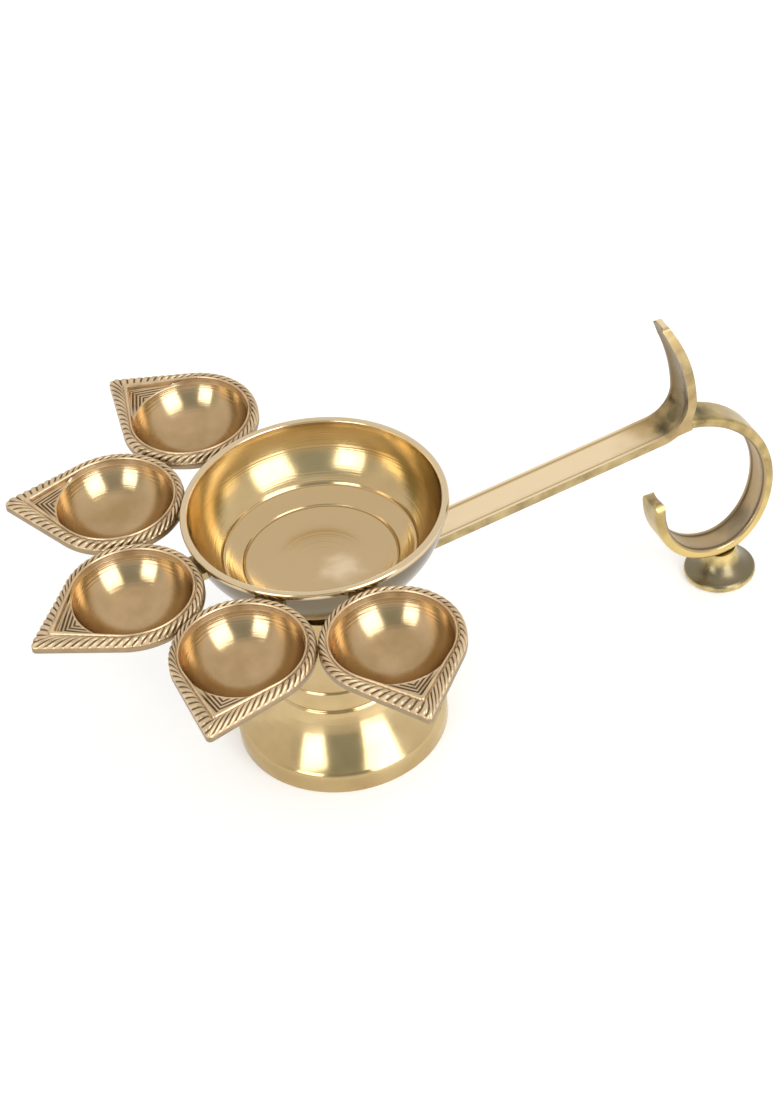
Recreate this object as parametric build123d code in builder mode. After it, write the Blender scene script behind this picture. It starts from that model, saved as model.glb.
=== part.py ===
from build123d import *
import os
from math import acos, cos, degrees, radians, sin, sqrt, tan

# Brass five-cup aarti lamp, in millimetres.
# The origin is the centre of the pedestal's foot on the table, +Z is up and the handle runs along +X.

# Fits shared by the pieces
braze_gap = 0.1
stud_clearance = 0.2
thread_gap = 0.05

# Centre bowl
rim_height = 90.0
rim_radius = 40.0
lip_width = 2.2
lip_height = 2.4
lip_round_share = 0.45
bowl_depth = 23.4
bowl_wall = 1.6
floor_radius = 13.8
floor_ring_radii = (23.2, 29.0)
floor_ring_depth = 0.35
boss_radius = 11.0
boss_height = 3.7
socket_floor = 1.7

# Hollow pedestal
foot_radius = 33.0
band_height = 7.2
band_step = 1.2
band_wall = 3.0
neck_radius = 19.4
neck_length = 21.5
pedestal_wall = 2.2
neck_plate = 3.0
hollow_rim_height = 3.5
pedestal_ring_shares = (0.557, 0.767)
pedestal_ring_depth = 0.45

# Leaf cups
cup_pitch = 40.5
fan_turn = 6.4
spout_twists = (12.0, 5.0, 3.0, 4.0, -4.0)
cup_drop = 1.4
border_width = 3.2
hollow_ledge = 0.3
hollow_depth = 12.8
cup_wall = 1.4
tip_length = 12.25
tip_radius = 1.3
border_height = 4.4
border_round = 1.3
spout_depth = 2.0
spout_length = 7.9
spout_tip_radius = 0.8
lug_width = 9.0
lug_height = 2.6

# Handle bar with its thumb prong
tongue_thickness = 3.0
tongue_margin = 2.0
bar_width = 11.6
bar_thickness = 3.0
bar_edge = 1.0
bar_scoop = 1.1
bar_slope = 5.0
bend_radius = 13.0
prong_bow_rise = 20.0
prong_bow_out = 0.7
prong_taper_rise = 24.0
prong_rise = 42.0
prong_lean = 6.4
prong_tip_width = 6.6
prong_tip_round = 1.6
tip_share = 0.55
heel_back = 124.0
heel_height = 9.0

# Finger loop
loop_width = 9.5
loop_thickness = 3.6
loop_depth = 25.3
loop_seat = 3.6
loop_bottom_height = 11.0
loop_low_drop = 22.4
loop_left_radius = 19.4
loop_right_radius = 15.8
loop_edge = 1.2
loop_scoop = 0.8
loop_edge_round = 1.2
loop_tip_rise = 4.2
loop_tip_round = 3.0

# Foot button under the loop
button_offset = 1.5
button_radius = 11.6
button_band = 2.8
button_band_bulge = 0.7
button_neck_radius = 5.6

# Clamping stud, washer and nut inside the pedestal
stud_radius = 3.0
stud_chamfer = 0.5
washer_radius = 8.0
washer_thickness = 1.2
nut_flats = 10.0
nut_height = 5.0
stud_tail = 1.6

# Levels of the clamped stack, from the bowl's floor down to the stud's end
floor_height = rim_height - bowl_depth
tongue_top = floor_height - bowl_wall - boss_height
stud_top = floor_height - socket_floor
pedestal_height = tongue_top - tongue_thickness
washer_top = pedestal_height - neck_plate
nut_top = washer_top - washer_thickness
stud_end = nut_top - nut_height - stud_tail

# Shape of the dish, of the pedestal's flare and of the leaf cups' round hollow
mouth_radius = rim_radius - lip_width
dish_curve = ((mouth_radius - floor_radius) ** 2 + bowl_depth**2) / (2 * bowl_depth)
dish_center = floor_height + dish_curve
flare_start_height = pedestal_height - neck_length
flare_end_radius = foot_radius - band_step
flare_drop = flare_start_height - band_height
flare_spread = flare_end_radius - neck_radius
flare_curve = (flare_drop**2 + flare_spread**2) / (2 * flare_spread)
half_pitch = sin(radians(cup_pitch / 2))
cup_distance = (rim_radius + braze_gap) / (1 - half_pitch)
cup_rim_height = rim_height - cup_drop
leaf_radius = cup_distance * half_pitch - braze_gap / 2
hollow_radius = leaf_radius - border_width - hollow_ledge
hollow_curve = (hollow_radius**2 + hollow_depth**2) / (2 * hollow_depth)
quarter_turn = 90.0

os.makedirs("parts", exist_ok=True)


def save(piece, name):
    """Labels a finished piece and writes it to its own file."""
    piece.label = name
    export_step(piece, f"parts/{name}.step")


def dish_lines(grow):
    """Lines of the dish's half section, grown outwards from its inside."""
    low = floor_height - grow
    mouth = floor_radius + sqrt((dish_curve + grow) ** 2 - (dish_center - rim_height) ** 2)
    Line((0, low), (floor_radius, low))
    TangentArc((floor_radius, low), (mouth, rim_height), tangent=(1, 0))
    Polyline((mouth, rim_height), (0, rim_height), (0, low))


def dish_height(radius):
    """Height of the dish's inside at a radius, on its flat floor or its round wall."""
    return dish_center - sqrt(dish_curve**2 - max(0.0, radius - floor_radius) ** 2)


def flare_edge(height):
    """Radius of the pedestal's flare at a height."""
    return neck_radius + flare_curve - sqrt(flare_curve**2 - (flare_start_height - height) ** 2)


# Centre bowl: a turned dish with a rolled lip, engraved floor rings and a blind boss underneath
with BuildPart() as centre_bowl:
    with BuildSketch(Plane.XZ):
        with BuildLine():
            dish_lines(bowl_wall)
        make_face()
    revolve(axis=Axis.Z)
    with BuildSketch(Plane.XY.offset(rim_height - lip_height)):
        Circle(rim_radius)
    extrude(amount=lip_height)
    with BuildSketch(Plane.XY.offset(tongue_top)):
        Circle(boss_radius)
    extrude(amount=floor_height - tongue_top)
    with BuildSketch(Plane.XZ):
        with BuildLine():
            dish_lines(0)
        make_face()
    revolve(axis=Axis.Z, mode=Mode.SUBTRACT)
    lip_edges = centre_bowl.edges().filter_by(GeomType.CIRCLE).group_by(Axis.Z)[-1]
    fillet(lip_edges, radius=lip_round_share * lip_width)
    for ring_radius in floor_ring_radii:
        with BuildSketch(Plane.XZ):
            with Locations((ring_radius, dish_height(ring_radius))):
                Circle(floor_ring_depth)
        revolve(axis=Axis.Z, mode=Mode.SUBTRACT)
    with BuildSketch(Plane.XY.offset(tongue_top)):
        Circle(stud_radius + thread_gap)
    extrude(amount=stud_top - tongue_top, mode=Mode.SUBTRACT)
save(centre_bowl.part, "centre_bowl")

# Pedestal: a hollow trumpet foot, open below, with a rounded foot band and two engraved rings
with BuildPart() as pedestal:
    with BuildSketch(Plane.XZ):
        with BuildLine():
            Polyline((foot_radius, band_height / 2), (foot_radius, 0), (0, 0), (0, pedestal_height))
            Line((0, pedestal_height), (neck_radius, pedestal_height))
            Line((neck_radius, pedestal_height), (neck_radius, flare_start_height))
            TangentArc(
                (neck_radius, flare_start_height),
                (flare_end_radius, band_height),
                tangent=(0, -1),
            )
            TangentArc((foot_radius, band_height / 2), (flare_end_radius, band_height), tangent=(0, 1))
        make_face()
    revolve(axis=Axis.Z)
    with BuildSketch(Plane.XZ):
        with BuildLine():
            bore = neck_radius - pedestal_wall
            mouth = foot_radius - band_wall
            Polyline((mouth, hollow_rim_height), (mouth, 0), (0, 0), (0, washer_top), (bore, washer_top))
            Line((bore, washer_top), (bore, flare_start_height))
            TangentArc((bore, flare_start_height), (mouth, hollow_rim_height), tangent=(0, -1))
        make_face()
    revolve(axis=Axis.Z, mode=Mode.SUBTRACT)
    for ring_share in pedestal_ring_shares:
        ring_height = band_height + ring_share * flare_drop
        with BuildSketch(Plane.XZ):
            with Locations((flare_edge(ring_height), ring_height)):
                Circle(pedestal_ring_depth)
        revolve(axis=Axis.Z, mode=Mode.SUBTRACT)
    with BuildSketch(Plane.XY.offset(washer_top)):
        Circle(stud_radius + stud_clearance)
    extrude(amount=neck_plate, mode=Mode.SUBTRACT)
save(pedestal.part, "pedestal")


def teardrop(radius, reach, end_radius):
    """Outline of a leaf: a circle drawn out to a small rounded tip."""
    with BuildSketch(mode=Mode.PRIVATE) as outline:
        Circle(radius)
        with Locations((reach - end_radius, 0)):
            Circle(end_radius)
        make_hull()
    add(outline.sketch)


def hollow_lines(grow):
    """Lines of the hollow's half section, a round cap grown outwards from its inside."""
    low = -hollow_depth - grow
    edge = sqrt((hollow_curve + grow) ** 2 - (hollow_curve - hollow_depth) ** 2)
    TangentArc((0, low), (edge, 0), tangent=(1, 0))
    Polyline((edge, 0), (edge, spout_depth / 2), (0, spout_depth / 2), (0, low))


def leaf_cup(turn, twist):
    """Leaf cup at an angle round the bowl: teardrop border, spout, hollow and a lug to the bowl's wall."""
    out = Vector(cos(radians(turn)), sin(radians(turn)), 0)
    center = out * cup_distance + Vector(0, 0, cup_rim_height)
    rim_plane = Plane(origin=center, x_dir=out.rotate(Axis.Z, twist), z_dir=(0, 0, 1))
    floor_center = center - Vector(0, 0, spout_depth)
    section_plane = Plane(origin=floor_center, x_dir=out, z_dir=out.cross(Vector(0, 0, 1)))
    cup_axis = Axis(floor_center, (0, 0, 1))
    lug_plane = Plane(origin=center, x_dir=out, z_dir=(0, 0, 1)).offset(-border_height)
    with BuildPart() as cup:
        with BuildSketch(rim_plane):
            teardrop(leaf_radius, leaf_radius + tip_length, tip_radius)
        extrude(amount=-border_height)
        fillet(cup.faces().sort_by(Axis.Z)[-1].edges(), radius=border_round)
        with BuildSketch(section_plane):
            with BuildLine():
                hollow_lines(cup_wall)
            make_face()
        revolve(axis=cup_axis)
        with BuildSketch(lug_plane):
            with Locations((-leaf_radius, 0)):
                Rectangle(2 * (cup_distance - leaf_radius - mouth_radius), lug_width)
        extrude(amount=lug_height)
        with BuildSketch(Plane.XZ):
            with BuildLine():
                dish_lines(bowl_wall + braze_gap)
            make_face()
        revolve(axis=Axis.Z, mode=Mode.SUBTRACT)
        with BuildSketch(rim_plane):
            teardrop(hollow_radius + hollow_ledge, hollow_radius + spout_length, spout_tip_radius)
        extrude(amount=-spout_depth, mode=Mode.SUBTRACT)
        with BuildSketch(section_plane):
            with BuildLine():
                hollow_lines(0)
            make_face()
        revolve(axis=cup_axis, mode=Mode.SUBTRACT)
    return cup.part


first_turn = 2 * quarter_turn + fan_turn - (len(spout_twists) - 1) / 2 * cup_pitch
for number, twist in enumerate(spout_twists):
    save(leaf_cup(first_turn + number * cup_pitch, twist), f"leaf_cup_{number + 1}")


# Handle bar: a tongue clamped under the bowl, a rising channel strip, a thumb prong and a heel for the loop
bar_root = (boss_radius + tongue_margin, pedestal_height)
heel_low = pedestal_height + tan(radians(bar_slope)) * (heel_back - bar_root[0])
half_width = bar_width / 2
scoop_half = half_width - bar_edge
half_tip = prong_tip_width / 2
prong_height = heel_low + prong_rise
prong_shoulder = prong_height - prong_tip_round
prong_end_round = tip_share * bar_thickness
taper_height = heel_low + prong_taper_rise
with BuildPart() as handle_bar:
    with BuildLine(Plane.XZ) as back_line:
        Line(bar_root, (heel_back, heel_low))
        ThreePointArc(
            (heel_back, heel_low),
            (heel_back + prong_bow_out, heel_low + prong_bow_rise),
            (heel_back - prong_lean, prong_height),
        )
        fillet(back_line.vertices().sort_by_distance((heel_back, 0, heel_low))[0], radius=bend_radius)
    path = back_line.wire()
    with BuildSketch(Plane(origin=path @ 0, x_dir=(0, 1, 0), z_dir=path % 0)):
        with BuildLine():
            Polyline((scoop_half, bar_thickness), (half_width, bar_thickness), (half_width, 0))
            Line((half_width, 0), (-half_width, 0))
            Polyline((-half_width, 0), (-half_width, bar_thickness), (-scoop_half, bar_thickness))
            ThreePointArc(
                (-scoop_half, bar_thickness),
                (0, bar_thickness - bar_scoop),
                (scoop_half, bar_thickness),
            )
        make_face()
    sweep(path=path)
    with BuildSketch(Plane.YZ):
        with BuildLine():
            Line((half_width, taper_height), (half_width, 0))
            Polyline((half_width, 0), (-half_width, 0), (-half_width, taper_height))
            TangentArc((-half_width, taper_height), (-half_tip, prong_shoulder), tangent=(0, 1))
            TangentArc((half_width, taper_height), (half_tip, prong_shoulder), tangent=(0, 1))
            ThreePointArc((-half_tip, prong_shoulder), (0, prong_height), (half_tip, prong_shoulder))
        make_face()
    extrude(amount=2 * heel_back, mode=Mode.INTERSECT)
    with BuildSketch(Plane(origin=path @ 1, x_dir=path % 1, z_dir=(0, -1, 0))):
        with Locations((-prong_end_round, bar_thickness / 2)):
            Rectangle(2 * prong_end_round, 2 * bar_thickness, align=(Align.MIN, Align.CENTER))
            Circle(prong_end_round, mode=Mode.SUBTRACT)
    extrude(amount=bar_width, both=True, mode=Mode.SUBTRACT)
    with BuildSketch(Plane.XY.offset(pedestal_height)):
        Circle(boss_radius)
        with Locations((bar_root[0] / 2, 0)):
            Rectangle(bar_root[0], bar_width)
    extrude(amount=tongue_thickness)
    with BuildSketch(Plane.XY.offset(pedestal_height)):
        Circle(stud_radius + stud_clearance)
    extrude(amount=2 * tongue_thickness, mode=Mode.SUBTRACT)
    with BuildSketch(Plane.XZ):
        with BuildLine():
            Polyline(
                (heel_back, heel_low),
                (heel_back, heel_low + heel_height),
                (heel_back - heel_height, heel_low - heel_height * tan(radians(bar_slope))),
                close=True,
            )
        make_face()
    extrude(amount=loop_width / 2, both=True)
save(handle_bar.part, "handle_bar")

# Finger loop: a scooped strip curled from the heel round to an upturned, rounded tip
loop_start = heel_back + braze_gap
loop_front = heel_back + loop_depth
low_center = (loop_front - loop_right_radius, loop_bottom_height + loop_thickness + loop_low_drop)
loop_rise = heel_low + loop_seat - low_center[1]
loop_reach = loop_front - loop_start
loop_top_radius = (loop_rise**2 + loop_reach**2 - loop_thickness**2) / (2 * (loop_reach + loop_thickness))
top_center = (loop_front - loop_top_radius, low_center[1])
top_sweep = degrees(acos((loop_start - loop_thickness - top_center[0]) / loop_top_radius))
tip_front = low_center[0] - loop_left_radius
tip_height = low_center[1] + loop_tip_rise
loop_end_round = tip_share * loop_thickness
half_loop = loop_width / 2
scoop_loop = half_loop - loop_edge


def low_curve(grow):
    """Lower half of the loop: two quarter ellipses, grown outwards from its inside."""
    drop = loop_low_drop + grow
    EllipticalCenterArc(low_center, loop_left_radius + grow, drop, 2 * quarter_turn, arc_size=quarter_turn)
    EllipticalCenterArc(low_center, loop_right_radius + grow, drop, 3 * quarter_turn, arc_size=quarter_turn)


with BuildPart() as finger_loop:
    with BuildLine(Plane.XZ) as inner_line:
        Line((tip_front, tip_height), (tip_front, low_center[1]))
        low_curve(0)
        CenterArc(top_center, loop_top_radius, 0, top_sweep)
    with BuildSketch(Plane(origin=inner_line.wire() @ 0, x_dir=(0, 1, 0), z_dir=(0, 0, -1))) as strip:
        with BuildLine():
            Polyline((scoop_loop, 0), (half_loop, 0), (half_loop, -loop_thickness))
            Line((half_loop, -loop_thickness), (-half_loop, -loop_thickness))
            Polyline((-half_loop, -loop_thickness), (-half_loop, 0), (-scoop_loop, 0))
            ThreePointArc((-scoop_loop, 0), (0, -loop_scoop), (scoop_loop, 0))
        make_face()
        fillet(strip.vertices().group_by(Axis.X)[0], radius=loop_edge_round)
    sweep(path=inner_line.wire())
    with BuildSketch(Plane.XZ):
        with Locations((loop_start - heel_height, heel_low)):
            Rectangle(2 * heel_height, 2 * heel_height)
    extrude(amount=loop_width, both=True, mode=Mode.SUBTRACT)
    with BuildSketch(Plane.YZ.offset(tip_front - 2 * loop_thickness)):
        with Locations((0, tip_height)):
            Rectangle(2 * loop_width, 2 * loop_tip_round)
        with Locations((0, low_center[1])):
            RectangleRounded(loop_width, 2 * loop_tip_rise, loop_tip_round, mode=Mode.SUBTRACT)
    extrude(amount=3 * loop_thickness, mode=Mode.SUBTRACT)
    with BuildSketch(Plane.XZ):
        with Locations((tip_front - loop_thickness / 2, tip_height - loop_end_round)):
            Rectangle(2 * loop_thickness, 2 * loop_end_round, align=(Align.CENTER, Align.MIN))
            Circle(loop_end_round, mode=Mode.SUBTRACT)
    extrude(amount=loop_width, both=True, mode=Mode.SUBTRACT)
save(finger_loop.part, "finger_loop")

# Foot button: a turned disc with a coved neck, saddled under the loop
button_distance = low_center[0] + button_offset
button_axis = Axis((button_distance, 0, 0), (0, 0, 1))
with BuildPart() as foot_button:
    with BuildSketch(Plane.XZ):
        with BuildLine():
            band_radius = button_radius - button_band_bulge
            neck = (button_distance + button_neck_radius, loop_bottom_height)
            Polyline((button_distance + band_radius, 0), (button_distance, 0))
            Polyline((button_distance, 0), (button_distance, low_center[1]), (neck[0], low_center[1]), neck)
            TangentArc(neck, (button_distance + band_radius, button_band), tangent=(0, -1))
            ThreePointArc(
                (button_distance + band_radius, button_band),
                (button_distance + button_radius, button_band / 2),
                (button_distance + band_radius, 0),
            )
        make_face()
    revolve(axis=button_axis)
    with BuildSketch(Plane.XZ):
        with BuildLine() as saddle:
            low_curve(loop_thickness + braze_gap)
            Line(saddle.wire() @ 0, saddle.wire() @ 1)
        make_face()
    extrude(amount=button_radius, both=True, mode=Mode.SUBTRACT)
save(foot_button.part, "foot_button")

# Clamping stud from the bowl's boss down through the tongue and the pedestal's neck plate
with BuildPart() as centre_stud:
    with BuildSketch(Plane.XY.offset(stud_end)):
        Circle(stud_radius)
    extrude(amount=stud_top - thread_gap - stud_end)
    chamfer(centre_stud.edges().filter_by(GeomType.CIRCLE), length=stud_chamfer)
save(centre_stud.part, "centre_stud")

# Washer under the neck plate
with BuildPart() as clamp_washer:
    with BuildSketch(Plane.XY.offset(nut_top)):
        Circle(washer_radius)
        Circle(stud_radius + stud_clearance, mode=Mode.SUBTRACT)
    extrude(amount=washer_thickness)
save(clamp_washer.part, "clamp_washer")

# Hexagon nut under the washer
with BuildPart() as clamp_nut:
    with BuildSketch(Plane.XY.offset(nut_top - nut_height)):
        RegularPolygon(nut_flats / 2, 6, major_radius=False)
        Circle(stud_radius + thread_gap, mode=Mode.SUBTRACT)
    extrude(amount=nut_height)
save(clamp_nut.part, "clamp_nut")
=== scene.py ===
from math import acos, asin, cos, pi, radians, sin, sqrt, tan

import bpy
import numpy as np
from mathutils import Matrix, Vector


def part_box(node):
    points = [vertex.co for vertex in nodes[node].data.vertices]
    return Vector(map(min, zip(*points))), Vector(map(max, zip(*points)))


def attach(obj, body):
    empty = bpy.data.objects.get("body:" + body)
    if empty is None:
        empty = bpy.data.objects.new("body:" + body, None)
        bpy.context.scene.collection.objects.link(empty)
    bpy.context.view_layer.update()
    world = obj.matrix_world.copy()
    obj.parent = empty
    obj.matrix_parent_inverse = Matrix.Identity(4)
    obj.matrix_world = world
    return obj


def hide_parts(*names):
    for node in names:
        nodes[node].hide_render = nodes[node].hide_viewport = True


# Looks of the brass aarti lamp, in metres, in the frame of its solids:
# the origin is the centre of the pedestal's foot, +Z is up and the handle runs along +X.

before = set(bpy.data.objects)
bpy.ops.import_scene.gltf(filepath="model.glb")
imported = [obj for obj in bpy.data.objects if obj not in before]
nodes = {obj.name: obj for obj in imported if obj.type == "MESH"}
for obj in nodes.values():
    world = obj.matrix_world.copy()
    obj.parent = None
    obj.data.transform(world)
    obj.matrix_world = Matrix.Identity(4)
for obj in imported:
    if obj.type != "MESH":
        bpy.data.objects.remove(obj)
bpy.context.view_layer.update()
mm = 0.001

# Centre bowl
bowl_low, bowl_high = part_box("centre_bowl")
rim_height = bowl_high.z
rim_radius = (bowl_high.x - bowl_low.x) / 2
lip_width = 2.2 * mm
lip_height = 2.4 * mm
lip_round = 1.0 * mm
lip_under_round = 0.6 * mm
bowl_depth = 23.4 * mm
bowl_wall = 1.6 * mm
floor_radius = 13.8 * mm
floor_rings = (23.2 * mm, 29.0 * mm)
ring_depth = 0.35 * mm
boss_radius = 11.0 * mm
floor_height = rim_height - bowl_depth
mouth_radius = rim_radius - lip_width
dish_curve = ((mouth_radius - floor_radius) ** 2 + bowl_depth**2) / (2 * bowl_depth)
dish_center = floor_height + dish_curve

# Pedestal
foot_low, foot_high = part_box("pedestal")
pedestal_height = foot_high.z
foot_radius = (foot_high.x - foot_low.x) / 2
band_height = 7.2 * mm
band_step = 1.2 * mm
band_wall = 3.0 * mm
neck_radius = 19.4 * mm
neck_length = 21.5 * mm
pedestal_wall = 2.2 * mm
neck_plate = 3.0 * mm
hollow_rim = 3.5 * mm
pedestal_ring_shares = (0.557, 0.767)
edge_round = 0.4 * mm
stud_hole = 3.2 * mm
flare_start = pedestal_height - neck_length
flare_drop = flare_start - band_height

# Layout of the cups, as in the solids
cup_pitch = radians(40.5)
fan_turn = radians(6.4)
spout_twists = (12.0, 5.0, 3.0, 4.0, -4.0)
braze_gap = 0.1 * mm
cup_distance = (rim_radius + braze_gap) / (1 - sin(cup_pitch / 2))
cup_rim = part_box("leaf_cup_1")[1].z

# Leaf cup, seen from its own centre at rim level with the spout along +X
leaf_radius = cup_distance * sin(cup_pitch / 2) - braze_gap / 2
tip_reach = leaf_radius + 12.25 * mm
tip_radius = 1.3 * mm
border_height = 4.4 * mm
border_width = 3.2 * mm
hollow_ledge = 0.3 * mm
hollow_radius = leaf_radius - border_width - hollow_ledge
hollow_depth = 12.8 * mm
hollow_curve = (hollow_radius**2 + hollow_depth**2) / (2 * hollow_depth)
cup_wall = 1.4 * mm
spout_depth = 2.0 * mm
spout_reach = hollow_radius + 7.9 * mm
spout_tip_radius = 0.8 * mm
spout_blend = 1.0 * mm
edge_drop = 0.3 * mm
edge_lift = 1.2 * mm
lug_width = 9.0 * mm
lug_height = 2.6 * mm
lug_overlap = 1.0 * mm

# Rope border: strands twisted round a half-round bead, over a plain lip
strand_pitch = 2.6 * mm
strand_depth = 0.62 * mm
strand_turns = 1.9
strand_fullness = 0.7
strand_ends = 0.08
rope_drop = 2.4 * mm
rope_start = 0.25
rope_open_angle = radians(135)
lip_inset = 0.15 * mm
lip_top_share = 0.98
lip_under_share = 0.985
lip_tarnish = 0.5

# Plain bead inside the rope: shares of the border's width, each with its drop in bead heights
bead_height = 0.25 * mm
bead_section = ((0, 2), (0.03, 1), (0.08, 0.3), (0.16, 0.3), (0.21, 1))

# Rounded edge between hollow and spout, in shares of its drop
edge_shares = (0.3, 0.7)

# Chevron hatching on the spout's floor, cut deeper away from the hollow and less at both ends
hatch_pitch = 1.5 * mm
hatch_depth = 0.4 * mm
hatch_lean = 0.9
hatch_rise = 3 * mm
hatch_margin = 0.1
hatch_end_slope = 12

# Fineness of the meshes: steps along outlines and sections, columns round an axis
arc_steps, side_steps, end_steps = 360, 96, 12
rope_steps, hatch_rows = 18, 40
hollow_steps, hollow_columns = 48, 160
shell_steps, shell_columns = 24, 144
under_stride = 4
dish_steps, outside_steps = 240, 48
flare_steps, band_steps, inside_steps = 200, 8, 40
lathe_columns = 224

# Edges sharper than this stay crisp under smooth shading
sharp_angle = radians(35)

# Surface of the brass: patches, turning lines, cast grain, tarnished grooves and the edges of spots of stain,
# painted highlight and painted shade
patch_low, patch_high = 0.35, 0.65
gloss_low, gloss_high = 0.3, 0.7
patch_detail, line_detail, grain_detail = 4.0, 3.0, 5.0
turned_stretch, turned_angle = 0.3, 0.25
line_pitch, line_depth = 0.8 * mm, 0.03 * mm
grain_size, grain_depth = 0.8 * mm, 0.1 * mm
groove_clean, groove_dark = 0.2, 0.75
spot_blots = 2
spot_outside, spot_inside = 1.5, 0.5


def fillet_line(corners, steps=6, support=0.25 * mm):
    """Points along a line of (radius, height, rounding) corners, with each rounding drawn as an arc."""
    points = [np.array(corners[0][:2])]
    for before, here, after in zip(corners, corners[1:], corners[2:]):
        corner, rounding = np.array(here[:2]), here[2]
        into = corner - np.array(before[:2])
        out = np.array(after[:2]) - corner
        into, out = into / np.hypot(*into), out / np.hypot(*out)
        turn = acos(max(-1.0, min(1.0, float(into @ out))))
        if rounding == 0 or turn < 1e-6:
            points.append(corner)
            continue
        reach = rounding * tan(turn / 2)
        side = 1 if into[0] * out[1] - into[1] * out[0] > 0 else -1
        normal = side * np.array([-into[1], into[0]])
        center = corner - into * reach + normal * rounding
        for step in range(steps + 1):
            angle = turn * step / steps
            points.append(center + rounding * (sin(angle) * into - cos(angle) * normal))
    points.append(np.array(corners[-1][:2]))
    line = [points[0]]
    for start, end in zip(points, points[1:]):
        length = np.hypot(*(end - start))
        if length > 4 * support:
            step = (end - start) / length * support
            line += [start + step, end - step]
        line.append(end)
    return line


def arc_points(start, end, down, steps):
    """Points on the arc that leaves start straight up or down and ends at end."""
    rise, run = abs(end[1] - start[1]), end[0] - start[0]
    radius = (rise**2 + run**2) / (2 * run)
    sweep = asin(rise / abs(radius))
    if abs(run) >= abs(radius):
        sweep = pi - sweep
    points = []
    for step in range(steps + 1):
        angle = sweep * step / steps
        height = start[1] + (-1 if down else 1) * abs(radius) * sin(angle)
        points.append(np.array([start[0] + radius * (1 - cos(angle)), height]))
    return points


def lathe(line, columns):
    """Grid of points that turns a half section round the Z axis."""
    angles = np.linspace(0, 2 * pi, columns, endpoint=False)
    return np.array([[(r * cos(a), r * sin(a), z) for a in angles] for r, z in line])


def grid_faces(rows, columns, start, closed):
    """Quads of a grid of points, joined into a ring where closed."""
    last = columns if closed else columns - 1
    faces = []
    for row in range(rows - 1):
        for column in range(last):
            beside = (column + 1) % columns
            low, high = start + row * columns, start + (row + 1) * columns
            faces.append((low + column, low + beside, high + beside, high + column))
    return faces


def grid_piece(name, grids, material, groove=None, place=None):
    """Smooth mesh of grids of points, put in place; its points keep own coordinates and groove depths."""
    points, faces = [], []
    for grid, closed in grids:
        rows, columns = grid.shape[:2]
        faces += grid_faces(rows, columns, len(points), closed)
        points += [tuple(point) for point in grid.reshape(-1, 3)]
    mesh = bpy.data.meshes.new(name)
    mesh.from_pydata(points, [], faces)
    own = mesh.attributes.new("own", "FLOAT_VECTOR", "POINT")
    own.data.foreach_set("vector", np.asarray(points, np.float32).ravel())
    if place is not None:
        mesh.transform(place)
    mesh.polygons.foreach_set("use_smooth", [True] * len(mesh.polygons))
    mesh.set_sharp_from_angle(angle=sharp_angle)
    if groove is not None:
        attribute = mesh.attributes.new("groove", "FLOAT", "POINT")
        attribute.data.foreach_set("value", np.asarray(groove, np.float32).ravel())
    mesh.materials.append(material)
    piece = bpy.data.objects.new(name, mesh)
    bpy.context.scene.collection.objects.link(piece)
    return piece


def wire(tree, node, **inputs):
    """Sets a node's sockets, by name or as i0, i1: plain values are written in, node outputs are linked."""
    for key, value in inputs.items():
        numbered = key[1:].isdigit()
        socket = node.inputs[int(key[1:]) if numbered else key.replace("_", " ")]
        if isinstance(value, bpy.types.NodeSocket):
            tree.links.new(value, socket)
        else:
            socket.default_value = value
    return node


def add_node(tree, kind, **inputs):
    """New shader node with its sockets set."""
    return wire(tree, tree.nodes.new(f"ShaderNode{kind}"), **inputs)


def calculate(tree, kind, operation, **inputs):
    """Math or vector math node with its sockets set."""
    node = add_node(tree, kind, **inputs)
    node.operation = operation
    is_vector = kind == "VectorMath" and operation in ("SUBTRACT", "MULTIPLY")
    return node.outputs["Vector" if is_vector else "Value"]


def fade(tree, value, low, high):
    """Smooth step of a value, from 0 at low to 1 at high."""
    node = add_node(tree, "MapRange", Value=value, From_Min=low, From_Max=high)
    node.interpolation_type = "SMOOTHSTEP"
    return node.outputs["Result"]


def blend(tree, factor, under, over):
    """Mix of two colours by a factor."""
    node = tree.nodes.new("ShaderNodeMix")
    node.data_type = "RGBA"
    below, above = (
        colour if isinstance(colour, bpy.types.NodeSocket) else (*colour, 1) for colour in (under, over)
    )
    wire(tree, node, i0=factor, i6=below, i7=above)
    return node.outputs[2]


def ramp(tree, factor, stops):
    """Colour ramp with (position, colour) stops."""
    node = add_node(tree, "ValToRGB", Fac=factor)
    for element, (position, colour) in zip(node.color_ramp.elements, stops):
        element.position = position
        element.color = (*colour, 1)
    return node.outputs["Color"]


def own_place(tree):
    """Coordinates of a mesh's points before it was put in its place."""
    node = tree.nodes.new("ShaderNodeAttribute")
    node.attribute_name = "own"
    return node.outputs["Vector"]


def groove_shade(over):
    """Dark colour in the grooves kept on a mesh's points."""

    def shade(tree, colour):
        depth = tree.nodes.new("ShaderNodeAttribute")
        depth.attribute_name = "groove"
        return blend(tree, fade(tree, depth.outputs["Fac"], groove_clean, groove_dark), colour, over)

    return shade


def facing_shade(direction, low, high, over):
    """Another colour on the faces that look along a direction."""

    def shade(tree, colour):
        normal = tree.nodes.new("ShaderNodeTexCoord").outputs["Normal"]
        look = calculate(tree, "VectorMath", "DOT_PRODUCT", i0=normal, i1=direction)
        return blend(tree, fade(tree, look, low, high), colour, over)

    return shade


def height_shade(low, high, over):
    """Another colour above a height, or below it if high < low."""

    def shade(tree, colour):
        place = tree.nodes.new("ShaderNodeTexCoord").outputs["Object"]
        height = add_node(tree, "SeparateXYZ", Vector=place).outputs["Z"]
        return blend(tree, fade(tree, height, low, high), colour, over)

    return shade


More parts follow.
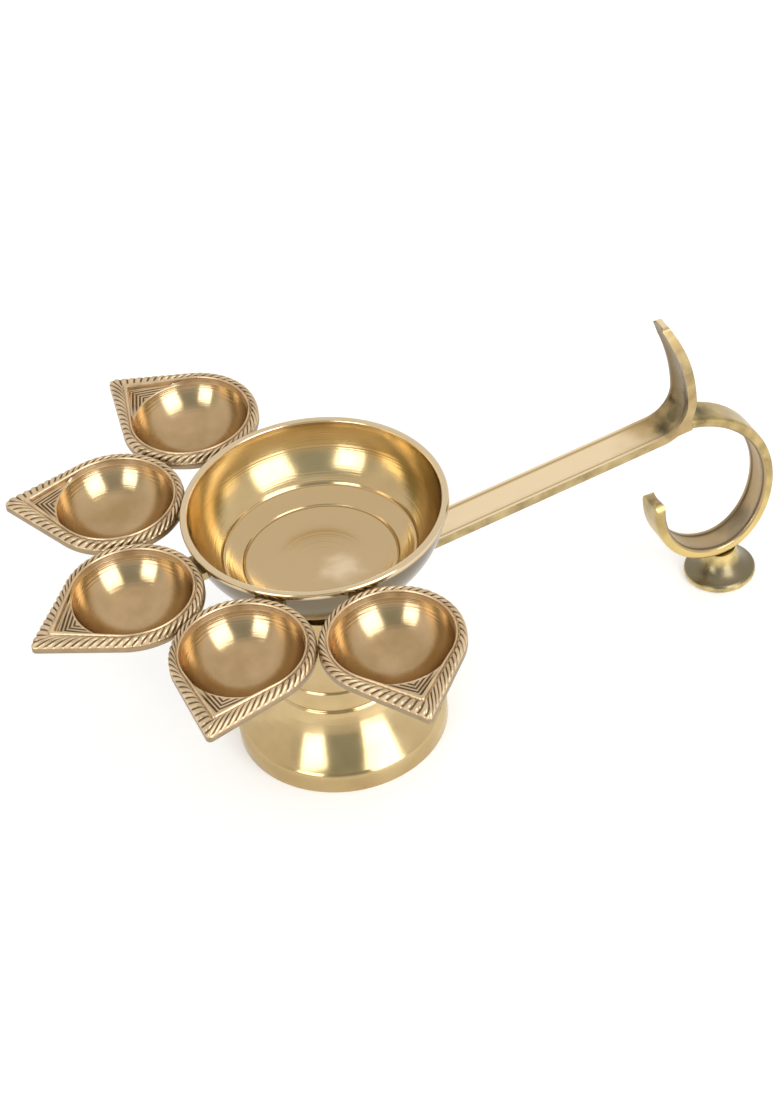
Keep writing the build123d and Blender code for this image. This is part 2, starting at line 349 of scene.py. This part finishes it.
def radial_shade(center, low, high, over, shades=()):
    """Another colour, with shades of its own, where faces look away from a point, or at it if high < low."""

    def shade(tree, colour):
        shaded = over
        for extra in shades:
            shaded = extra(tree, shaded)
        coordinates = tree.nodes.new("ShaderNodeTexCoord").outputs
        arm = calculate(tree, "VectorMath", "SUBTRACT", i0=coordinates["Object"], i1=center)
        look = calculate(tree, "VectorMath", "DOT_PRODUCT", i0=coordinates["Normal"], i1=arm)
        return blend(tree, fade(tree, look, low, high), colour, shaded)

    return shade


def spot_shade(center, reach, over, stretch=(1, 1, 1)):
    """Spot of another colour with an uneven edge round a point, longer along an axis whose stretch is below
    1; used for stains, painted highlights and painted shade.
    """

    def shade(tree, colour):
        place = tree.nodes.new("ShaderNodeTexCoord").outputs["Object"]
        flat = calculate(tree, "VectorMath", "MULTIPLY", i0=place, i1=stretch)
        away = calculate(tree, "VectorMath", "DISTANCE", i0=flat, i1=center)
        blots = add_node(tree, "TexNoise", Vector=place, Scale=spot_blots / reach)
        edge = calculate(tree, "Math", "MULTIPLY_ADD", i0=blots.outputs["Fac"], i1=reach, i2=away)
        spotted = fade(tree, edge, spot_outside * reach, spot_inside * reach)
        return blend(tree, spotted, colour, over)

    return shade


def line_shade(middle, reach, over):
    """Another colour in two lines along X, at a distance to either side of the axis."""

    def shade(tree, colour):
        place = tree.nodes.new("ShaderNodeTexCoord").outputs["Object"]
        across = add_node(tree, "SeparateXYZ", Vector=place).outputs["Y"]
        side = calculate(tree, "Math", "ABSOLUTE", i0=across)
        away = calculate(tree, "Math", "SUBTRACT", i0=side, i1=middle)
        off = calculate(tree, "Math", "ABSOLUTE", i0=away)
        return blend(tree, fade(tree, off, reach, 0), colour, over)

    return shade


def turned_finish(tree, shader):
    """Turning lines round a mesh's own axis, with highlights stretched across them."""
    split = add_node(tree, "SeparateXYZ", Vector=own_place(tree))
    flat = add_node(tree, "CombineXYZ", X=split.outputs["X"], Y=split.outputs["Y"])
    radius = calculate(tree, "VectorMath", "LENGTH", i0=flat.outputs["Vector"])
    along = calculate(tree, "Math", "ADD", i0=radius, i1=split.outputs["Z"])
    lines = tree.nodes.new("ShaderNodeTexNoise")
    lines.noise_dimensions = "1D"
    wire(tree, lines, W=along, Scale=1 / line_pitch, Detail=line_detail)
    bump = add_node(tree, "Bump", Height=lines.outputs["Fac"], Distance=line_depth)
    tangent = tree.nodes.new("ShaderNodeTangent")
    tangent.direction_type = "RADIAL"
    tangent.axis = "Z"
    wire(tree, shader, Anisotropic=turned_stretch, Anisotropic_Rotation=turned_angle)
    wire(tree, shader, Tangent=tangent.outputs["Tangent"], Normal=bump.outputs["Normal"])


def grained_finish(tree, shader, strength):
    """Fine grain of a cast or filed surface."""
    place = tree.nodes.new("ShaderNodeTexCoord").outputs["Object"]
    specks = add_node(tree, "TexNoise", Vector=place, Scale=1 / grain_size, Detail=grain_detail)
    bump = add_node(tree, "Bump", Height=specks.outputs["Fac"], Strength=strength, Distance=grain_depth)
    wire(tree, shader, Normal=bump.outputs["Normal"])


def brass(name, colours, gloss, patch_size, grain=0, shades=()):
    """Brass whose colour and gloss wander in soft patches; without a grain its surface is turned."""
    material = bpy.data.materials.new(name)
    material.use_nodes = True
    tree = material.node_tree
    shader = tree.nodes["Principled BSDF"]
    place = tree.nodes.new("ShaderNodeTexCoord").outputs["Object"]
    noise = add_node(tree, "TexNoise", Vector=place, Scale=1 / patch_size, Detail=patch_detail)
    patches = noise.outputs["Fac"]
    pale, deep = colours
    colour = ramp(tree, patches, [(patch_low, deep), (patch_high, pale)])
    for shade in shades:
        colour = shade(tree, colour)
    rough = add_node(tree, "MapRange", Value=patches, From_Min=gloss_low, From_Max=gloss_high)
    wire(tree, rough, To_Min=gloss[0], To_Max=gloss[1])
    wire(tree, shader, Base_Color=colour, Metallic=1.0, Roughness=rough.outputs["Result"])
    if grain:
        grained_finish(tree, shader, grain)
    else:
        turned_finish(tree, shader)
    return material


# Roughness, from the most to the least polished patches
turned_gloss = (0.14, 0.19)
cup_gloss = (0.15, 0.21)
filed_gloss = (0.24, 0.38)
shell_gloss = (0.26, 0.38)
fastener_gloss = (0.3, 0.4)
cast_gloss = (0.32, 0.44)

# Colours of the brass, in pale and deep patches
turned_colours = (0.60, 0.455, 0.24), (0.48, 0.345, 0.165)
cup_colours = (0.49, 0.335, 0.18), (0.39, 0.26, 0.125)
rope_colours = (0.70, 0.53, 0.335), (0.54, 0.405, 0.25)
shell_colours = (0.50, 0.39, 0.21), (0.40, 0.31, 0.16)
bar_colours = (0.52, 0.40, 0.205), (0.32, 0.24, 0.115)
loop_colours = (0.56, 0.42, 0.19), (0.34, 0.25, 0.105)
button_colours = (0.78, 0.60, 0.25), (0.38, 0.30, 0.14)
fastener_colours = (0.56, 0.43, 0.22), (0.48, 0.36, 0.18)

# Colours of wear and tarnish, of painted highlights and reflections and of painted shade, from the brightest
# to the darkest
painted_wall_reflection = (0.92, 0.79, 0.49)
wear_and_top_sheen = (0.84, 0.67, 0.43)
painted_loop_floor_reflection = (0.75, 0.56, 0.21)
painted_bowl_highlight = (0.74, 0.57, 0.37)
lip_wear = (0.66, 0.52, 0.33)
painted_cup_wall_reflection = (0.57, 0.425, 0.25)
floor_brown = (0.54, 0.39, 0.21)
bar_brown = (0.50, 0.345, 0.16)
painted_scoop_edge_shade = (0.46, 0.33, 0.16)
painted_loop_inner_shade = (0.43, 0.315, 0.175)
loop_blotches = (0.24, 0.185, 0.115)
shadowed = (0.24, 0.175, 0.09)
painted_button_shade = (0.20, 0.165, 0.10)
painted_outside_shade = (0.18, 0.145, 0.095)
painted_loop_edge_shade = (0.17, 0.125, 0.065)
groove_dirt = (0.13, 0.085, 0.045)
oxide = (0.12, 0.10, 0.045)
crease_darkening = (0.09, 0.068, 0.03)

# Directions in which the shaded faces look
upwards = (0, 0, 1)
to_bowl = (-1, 0, 0)

# Bowl: brown floor with a painted highlight, a painted reflection that brightens the upper wall, painted
# shade on the outside and a plain lip
under_lip = rim_height - lip_height
bowl_patch = Vector((4 * mm, -6 * mm, floor_height))
bowl_shades = [
    height_shade(floor_height + 10 * mm, floor_height + 3 * mm, floor_brown),
    # Painted highlight: a lighter spot on the bowl's floor
    spot_shade(bowl_patch, 9 * mm, painted_bowl_highlight),
    # Painted reflection: the upper wall is painted brighter towards the lip
    height_shade(rim_height - 4 * lip_height, under_lip, painted_wall_reflection),
    # Painted shade on the outside of the bowl, under the rim
    radial_shade((0, 0, rim_height), rim_radius / 4, rim_radius / 2, painted_outside_shade),
    height_shade(under_lip, rim_height - lip_height / 2, lip_wear),
]
bowl_brass = brass("bowl_brass", turned_colours, turned_gloss, patch_size=20 * mm, shades=bowl_shades)

# Pedestal
foot_brass = brass("foot_brass", turned_colours, turned_gloss, patch_size=20 * mm)

# Cups: polished hollow, cast rope and spout, plain shell
# Painted reflection: the hollow's upper wall is painted lighter towards the rim
cup_shades = [height_shade(cup_rim - hollow_depth, cup_rim - spout_depth, painted_cup_wall_reflection)]
cup_polish = brass("cup_polish", cup_colours, cup_gloss, patch_size=10 * mm, shades=cup_shades)
rope_shades = [groove_shade(groove_dirt)]
rope_brass = brass("rope_brass", rope_colours, cast_gloss, patch_size=5 * mm, grain=0.3, shades=rope_shades)
shell_brass = brass("satin_brass", shell_colours, shell_gloss, patch_size=12 * mm, grain=0.25)

# Handle bar: top paler from wear and a painted highlight, painted shade along the scoop's edges and towards
# the bowl, oxide in the crook, darker along its crease
loop_low, loop_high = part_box("finger_loop")
bar_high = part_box("handle_bar")[1]
bar_scoop_edge = 4.6 * mm
crook = Vector((bar_high.x - 8 * mm, 0, loop_high.z + 1 * mm))
crease = Vector((bar_high.x - 9.6 * mm, -0.75 * mm, loop_high.z - 1.9 * mm))
crease_stretch = (1, 0.5, 1)
bar_shades = [
    # Upward faces painted paler: partly wear, partly a painted highlight where light falls on the top
    facing_shade(upwards, low=0.75, high=0.95, over=wear_and_top_sheen),
    spot_shade(crook, 22 * mm, bar_brown),
    # Painted shade in lines inside the scoop's raised edges
    line_shade(bar_scoop_edge, 0.7 * mm, painted_scoop_edge_shade),
    facing_shade(to_bowl, low=0.5, high=0.85, over=shadowed),
    spot_shade(crook, 9 * mm, oxide),
    # Darker along the crease where the bar bends up into the prong
    spot_shade(crease, 3 * mm, crease_darkening, crease_stretch),
]
bar_brass = brass("bar_brass", bar_colours, filed_gloss, patch_size=6 * mm, grain=0.25, shades=bar_shades)

# Finger loop: a painted reflection of the floor below, painted brown shade and blotches inside with painted
# shade along the scoop's edge, oxide at the brazed seam, painted shade at the tip
loop_center = (loop_low + loop_high) / 2
loop_scoop_edge = 3.5 * mm
loop_blotch = Vector((loop_high.x - 11 * mm, 0, loop_low.z + 8 * mm))
seam = Vector((bar_high.x + 3 * mm, 0, loop_high.z))
loop_tip = Vector((loop_low.x, 0, loop_center.z))
loop_inside = [
    spot_shade(loop_blotch, 11 * mm, loop_blotches),
    # Painted shade in a line inside the loop's scoop edge
    line_shade(loop_scoop_edge, 0.9 * mm, painted_loop_edge_shade),
]
loop_shades = [
    # Painted reflection: the lower part of the loop is painted lighter
    height_shade(loop_center.z, loop_low.z + 2 * mm, painted_loop_floor_reflection),
    # Painted shade on the faces inside the loop
    radial_shade(loop_center, 0, -4 * mm, painted_loop_inner_shade, loop_inside),
    spot_shade(seam, 7 * mm, oxide),
    # Painted shade at the loop's tip
    spot_shade(loop_tip, 4 * mm, shadowed),
]
loop_brass = brass("loop_brass", loop_colours, filed_gloss, patch_size=6 * mm, grain=0.25, shades=loop_shades)

# Foot button and the hidden fasteners
# Painted shade: the button's top, under the loop, is painted darker than its rim
button_shades = [facing_shade(upwards, low=0.15, high=0.6, over=painted_button_shade)]
button_brass = brass(
    "button_brass", button_colours, filed_gloss, patch_size=4 * mm, grain=0.3, shades=button_shades
)
fastener_brass = brass("fastener_brass", fastener_colours, fastener_gloss, patch_size=4 * mm, grain=0.2)


def teardrop(radius, reach, end_radius):
    """Closed leaf outline: big arc from the upper tangent point, lower side, tip arc, upper side."""
    center = reach - end_radius
    lean = acos((radius - end_radius) / center)
    points = []
    for step in range(arc_steps):
        angle = lean + (2 * pi - 2 * lean) * step / arc_steps
        points.append((radius * cos(angle), radius * sin(angle)))
    tip_low = np.array([center + end_radius * cos(lean), -end_radius * sin(lean)])
    arc_low = np.array([radius * cos(lean), -radius * sin(lean)])
    for step in range(side_steps):
        points.append(tuple(arc_low + (tip_low - arc_low) * step / side_steps))
    for step in range(end_steps):
        angle = -lean + 2 * lean * step / end_steps
        points.append((center + end_radius * cos(angle), end_radius * sin(angle)))
    for step in range(side_steps):
        points.append(tuple((tip_low + (arc_low - tip_low) * step / side_steps) * (1, -1)))
    return np.array(points)


# Inner and outer outline of the border, and 1 where the inner one runs along the round hollow
inner_edge = teardrop(hollow_radius + hollow_ledge, spout_reach, spout_tip_radius)
outer_edge = teardrop(leaf_radius, tip_reach, tip_radius)
inner_reach = np.hypot(*inner_edge.T)
round_side = 1 - np.clip((inner_reach - hollow_radius - hollow_ledge) / spout_blend, 0, 1)


def hollow_edge(height):
    """Radius of the polished hollow at a height over the cup's rim."""
    return sqrt(hollow_curve**2 - (hollow_curve - hollow_depth - spout_depth - height) ** 2)


def rope_border():
    """Grid and groove depths of the border, from the spout's floor over the rope and down the lip."""
    gaps = np.hypot(*(np.roll(outer_edge, -1, 0) - outer_edge).T)
    run = np.concatenate([[0], np.cumsum(gaps)[:-1]])
    strands = round(gaps.sum() / strand_pitch)
    phase = strands * run / gaps.sum()
    across = outer_edge - inner_edge
    width = np.hypot(*across.T)
    outwards = across / width[:, None]
    rows, grooves = [], []

    def plain(share, height, groove=0.0):
        rows.append(np.column_stack([inner_edge + across * share, np.full(len(across), height)]))
        grooves.append(np.full(len(across), groove))

    rows.append(np.column_stack([inner_edge, edge_lift * round_side - spout_depth]))
    grooves.append(np.zeros(len(across)))
    for share, drop in bead_section:
        plain(share, -drop * bead_height)
    half = (1 - rope_start) / (1 - cos(rope_open_angle))
    middle = 1 - half
    for step in range(rope_steps + 1):
        share = step / rope_steps
        angle = rope_open_angle * (1 - share)
        lump = np.abs(np.sin(pi * (phase + strand_turns * share))) ** strand_fullness
        ease = min(1.0, share / strand_ends, (1 - share) / strand_ends)
        sink = strand_depth * ease * (1 - lump)
        plan = inner_edge + across * (middle + half * cos(angle)) - outwards * (sink * cos(angle))[:, None]
        height = rope_drop * (sin(angle) - 1) - sink * sin(angle)
        rows.append(np.column_stack([plan, height]))
        grooves.append(ease * (1 - lump))
    lip_top = -rope_drop - lip_inset
    plain(lip_top_share, lip_top, lip_tarnish)
    plain(1, lip_top - lip_inset, lip_tarnish)
    plain(1, -border_height + lip_inset, lip_tarnish)
    plain(lip_under_share, -border_height, lip_tarnish)
    return np.array(rows), np.concatenate(grooves)


def spout_floor():
    """Grid and groove depths from hollow to border, flat and hatched in the spout, steep elsewhere."""
    angles = np.arctan2(inner_edge[:, 1], inner_edge[:, 0])
    rows, grooves = [], []

    def ring(flat_reach, flat_height, steep_reach, steep_height, groove):
        reach = flat_reach + (steep_reach - flat_reach) * round_side
        height = flat_height + (steep_height - flat_height) * round_side
        rows.append(np.column_stack([reach * np.cos(angles), reach * np.sin(angles), height]))
        grooves.append(groove * (1 - round_side))

    low = -spout_depth - edge_drop
    ring(hollow_edge(low), low, hollow_edge(low), low, 0)
    for share in edge_shares:
        level = low + share * edge_drop
        ring(hollow_radius + share * edge_drop / 2, level, hollow_edge(level), level, 0)
    near = hollow_radius + edge_shares[-1] * edge_drop
    spread = np.clip((inner_reach - near) / hatch_rise - hatch_margin, 0, 1)
    for share in np.linspace(0, 1, hatch_rows):
        reach = near + (inner_reach - near) * share
        chevron = reach * np.cos(angles) + hatch_lean * np.abs(reach * np.sin(angles))
        wave = np.abs(2 * (chevron / hatch_pitch % 1) - 1)
        cut = wave * spread * min(1, hatch_end_slope * share, hatch_end_slope * (1 - share))
        steep = hollow_radius + hollow_ledge * share
        ring(reach, -spout_depth - hatch_depth * cut, steep, edge_lift * share - spout_depth, cut)
    return np.array(rows), np.concatenate(grooves)


def cap_line(grow, high, steps):
    """Half section of the hollow grown outwards, from a height over the rim down to the axis."""
    curve = hollow_curve + grow
    center = hollow_curve - hollow_depth - spout_depth
    first = acos((center - high) / curve)
    turns = [first * step / steps for step in range(steps, -1, -1)]
    return [(curve * sin(turn), center - curve * cos(turn)) for turn in turns]


border_grid, border_grooves = rope_border()
spout_grid, spout_grooves = spout_floor()
hollow_grid = lathe(cap_line(0, -spout_depth - edge_drop, hollow_steps), hollow_columns)
shell_grid = lathe(cap_line(cup_wall, -border_height, shell_steps), shell_columns)

# Flat underside between the shell and the border
shell_reach = np.hypot(*shell_grid[0][0, :2])
under_edge = outer_edge[::under_stride] * lip_under_share
under_turns = np.arctan2(under_edge[:, 1], under_edge[:, 0])
under_level = np.full(len(under_edge), -border_height)
under_inner = shell_reach * np.column_stack([np.cos(under_turns), np.sin(under_turns)])
plate_grid = np.array([np.column_stack([edge, under_level]) for edge in (under_edge, under_inner)])


def lug_grid(twist):
    """Grid of the small lug under a cup's border, turned back from the spout to point at the bowl's axis."""
    low, high = -border_height, -border_height + lug_height
    corners = [(low, -1), (low, 1), (high, 1), (high, -1)]
    rows = []
    for inside in (True, False):
        row = []
        for height, side in corners:
            wall = floor_radius + sqrt((dish_curve + bowl_wall) ** 2 - (dish_center - cup_rim - height) ** 2)
            across = side * lug_width / 2
            if inside:
                reach = sqrt((wall + braze_gap) ** 2 - across**2)
            else:
                reach = cup_distance - leaf_radius + lug_overlap
            row.append(Matrix.Rotation(-twist, 3, "Z") @ Vector((reach - cup_distance, across, height)))
        rows.append(row)
    return np.array(rows)


# Cups, brazed to the bowl and to each other in a fan
for number, twist in enumerate(spout_twists):
    turn = pi + fan_turn + (number - (len(spout_twists) - 1) / 2) * cup_pitch
    place = Matrix.Translation((cup_distance * cos(turn), cup_distance * sin(turn), cup_rim))
    place = place @ Matrix.Rotation(turn + radians(twist), 4, "Z")
    name = f"leaf_cup_{number + 1}"
    border = grid_piece(f"{name}_border", [(border_grid, True)], rope_brass, border_grooves, place)
    hollow = grid_piece(f"{name}_hollow", [(hollow_grid, True)], cup_polish, place=place)
    spout = grid_piece(f"{name}_spout", [(spout_grid, True)], rope_brass, spout_grooves, place)
    under = [(shell_grid, True), (plate_grid, True), (lug_grid(radians(twist)), True)]
    shell = grid_piece(f"{name}_shell", under, shell_brass, place=place)
    for piece in (border, hollow, spout, shell):
        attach(piece, "root")
    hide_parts(name)


def dish_arc(curve, high, steps):
    """Points of the dish's round wall from the flat floor's edge up to a height."""
    last = acos((dish_center - high) / curve)
    turns = [last * step / steps for step in range(steps + 1)]
    return [(floor_radius + curve * sin(turn), dish_center - curve * cos(turn)) for turn in turns]


def bowl_line():
    """Half section of the bowl: engraved floor, round wall, rolled lip, outside wall and boss."""
    inside = [(0, floor_height), (floor_radius / 2, floor_height)]
    for radius, height in dish_arc(dish_curve, rim_height - lip_round, dish_steps):
        cut = sum(ring_depth * np.exp(-(((radius - ring) / ring_depth) ** 2)) for ring in floor_rings)
        inside.append((radius, height - cut))
    outside = dish_arc(dish_curve + bowl_wall, under_lip, outside_steps)[::-1]
    lip = fillet_line(
        [
            (*inside[-1], 0),
            (mouth_radius, rim_height, lip_round),
            (rim_radius, rim_height, lip_round),
            (rim_radius, under_lip, lip_under_round),
            (*outside[0], 0),
        ]
    )
    low = floor_height - bowl_wall
    boss = [(boss_radius, low), (boss_radius, bowl_low.z), (stud_hole, bowl_low.z)]
    return inside + lip[1:-1] + outside + boss


def pedestal_line():
    """Half section of the pedestal, from the neck plate's hole over the flare and up inside the hollow."""
    flare_end = foot_radius - band_step
    mouth, bore = foot_radius - band_wall, neck_radius - pedestal_wall
    plate_low = pedestal_height - neck_plate
    rings = [band_height + share * flare_drop for share in pedestal_ring_shares]
    line = fillet_line(
        [
            (stud_hole, pedestal_height, 0),
            (neck_radius, pedestal_height, edge_round),
            (neck_radius, flare_start, 0),
        ]
    )
    flare = arc_points((neck_radius, flare_start), (flare_end, band_height), True, flare_steps)
    for radius, height in flare[1:]:
        cut = sum(ring_depth * np.exp(-(((height - ring) / ring_depth) ** 2)) for ring in rings)
        line.append((radius - cut, height))
    line += arc_points((foot_radius, band_height / 2), (flare_end, band_height), False, band_steps)[::-1]
    line += fillet_line(
        [
            (foot_radius, band_height / 2, 0),
            (foot_radius, 0, edge_round),
            (mouth, 0, edge_round),
            (mouth, hollow_rim, 0),
        ]
    )[1:]
    line += arc_points((bore, flare_start), (mouth, hollow_rim), True, inside_steps)[::-1][1:]
    line += fillet_line(
        [
            (bore, flare_start, 0),
            (bore, plate_low, edge_round),
            (stud_hole, plate_low, 0),
        ]
    )[1:]
    return line


# Bowl and pedestal
bowl = grid_piece("bowl", [(lathe(bowl_line(), lathe_columns), True)], bowl_brass)
pedestal = grid_piece("pedestal_foot", [(lathe(pedestal_line(), lathe_columns), True)], foot_brass)
for piece, node in ((bowl, "centre_bowl"), (pedestal, "pedestal")):
    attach(piece, "root")
    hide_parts(node)

# Handle, loop, button and fasteners keep the meshes of their solids
finishes = {
    "handle_bar": (bar_brass, "satin_brass"),
    "finger_loop": (loop_brass, "satin_brass"),
    "foot_button": (button_brass, "satin_brass"),
    "centre_stud": (fastener_brass, "fastener_brass"),
    "clamp_washer": (fastener_brass, "fastener_brass"),
    "clamp_nut": (fastener_brass, "fastener_brass"),
}
for name, (material, slot) in finishes.items():
    nodes[name].data.materials.clear()
    nodes[name].data.materials.append(material)

# Camera at the photograph's viewing angle
camera_turn = radians(-20.063)
camera_rise = radians(42.075)
camera_roll = radians(-6.846)
camera_distance = 0.904278
camera_target = Vector((0.021598, -0.000768, 0.060))
image_height = 1108
focal_pixels = 2980.57
back = Vector((sin(camera_turn) * cos(camera_rise), -cos(camera_turn) * cos(camera_rise), sin(camera_rise)))
level = Vector((cos(camera_turn), sin(camera_turn), 0))
upright = back.cross(level)
right = cos(camera_roll) * level + sin(camera_roll) * upright
up = back.cross(right)
lens = bpy.data.cameras.new("camera")
lens.sensor_fit = "VERTICAL"
lens.sensor_height = 36
lens.lens = focal_pixels * lens.sensor_height / image_height
lens.clip_start = 0.01
camera = bpy.data.objects.new("camera", lens)
aim = Matrix((right, up, back)).transposed().to_4x4()
camera.matrix_world = Matrix.Translation(camera_target + back * camera_distance) @ aim
bpy.context.scene.collection.objects.link(camera)
bpy.context.scene.camera = camera

# Pale floor, lit up a little for the camera and for reflections, which keeps the lamp's shadow
floor_half = 6.0
floor_lift = 0.25
fibre_scale = 40.0
fibre_low, fibre_high = 0.3, 0.7
paper_dark, paper_pale = (0.79, 0.79, 0.79), (0.81, 0.81, 0.81)
paper_roughness = 0.9
corners = [(x * floor_half, y * floor_half, 0) for x, y in ((-1, -1), (1, -1), (1, 1), (-1, 1))]
floor_mesh = bpy.data.meshes.new("floor")
floor_mesh.from_pydata(corners, [], [(0, 1, 2, 3)])
paper = bpy.data.materials.new("paper")
paper.use_nodes = True
tree = paper.node_tree
place = tree.nodes.new("ShaderNodeTexCoord").outputs["Object"]
fibres = add_node(tree, "TexNoise", Vector=place, Scale=fibre_scale)
tint = ramp(tree, fibres.outputs["Fac"], [(fibre_low, paper_dark), (fibre_high, paper_pale)])
rays = tree.nodes.new("ShaderNodeLightPath").outputs
seen = calculate(tree, "Math", "ADD", i0=rays["Is Camera Ray"], i1=rays["Is Glossy Ray"])
lift = calculate(tree, "Math", "MULTIPLY", i0=seen, i1=floor_lift)
shader = tree.nodes["Principled BSDF"]
wire(tree, shader, Base_Color=tint, Roughness=paper_roughness)
wire(tree, shader, Emission_Color=(1, 1, 1, 1), Emission_Strength=lift)
floor_mesh.materials.append(paper)
ground = bpy.data.objects.new("floor", floor_mesh)
bpy.context.scene.collection.objects.link(ground)

# Studio: two softboxes beside the camera, in a white tent that is open to a dim room round the camera
light_distance = 1.0
box_radiance = 4.2
room_colour = (0.44, 0.48, 0.47)
side_colour = (1.00, 0.98, 0.95)
back_colour = (1.00, 1.00, 1.00)

# The tent's opening: how far ahead and how high a direction points, from tent to room
opening_ahead = (0.3, 0.7)
opening_low = (0.10, 0.24)
opening_high = (0.85, 0.65)
tent_back = (-0.1, -0.6)


def softbox(name, turn, rise, width, height):
    """Area light facing the lamp from an angle beside the camera and above the table."""
    light = bpy.data.lights.new(name, "AREA")
    light.shape = "RECTANGLE"
    light.size, light.size_y = width, height
    light.energy = box_radiance * pi * width * height
    lamp = bpy.data.objects.new(name, light)
    angle, climb = camera_turn + radians(turn), radians(rise)
    away = Vector((sin(angle) * cos(climb), -cos(angle) * cos(climb), sin(climb)))
    lamp.location = camera_target + away * light_distance
    lamp.rotation_euler = away.to_track_quat("Z", "Y").to_euler()
    bpy.context.scene.collection.objects.link(lamp)


softbox("right_softbox", turn=37, rise=24, width=0.60, height=0.78)
softbox("left_softbox", turn=-39, rise=21, width=0.42, height=0.50)

world = bpy.data.worlds.new("studio")
world.use_nodes = True
bpy.context.scene.world = world
tree = world.node_tree
direction = tree.nodes.new("ShaderNodeTexCoord").outputs["Generated"]
height = add_node(tree, "SeparateXYZ", Vector=direction).outputs["Z"]
ahead = Vector((sin(camera_turn), -cos(camera_turn), 0))
onward = calculate(tree, "VectorMath", "DOT_PRODUCT", i0=direction, i1=ahead)
above = fade(tree, height, *opening_low)
below = fade(tree, height, *opening_high)
band = calculate(tree, "Math", "MULTIPLY", i0=above, i1=below)
opening = calculate(tree, "Math", "MULTIPLY", i0=fade(tree, onward, *opening_ahead), i1=band)
tent = blend(tree, fade(tree, onward, *tent_back), side_colour, back_colour)
studio = blend(tree, opening, tent, room_colour)
rays = tree.nodes.new("ShaderNodeLightPath").outputs
shown = blend(tree, rays["Is Camera Ray"], studio, (1, 1, 1))
wire(tree, tree.nodes["Background"], Color=shown, Strength=1.0)

bpy.context.scene.view_settings.view_transform = "Standard"
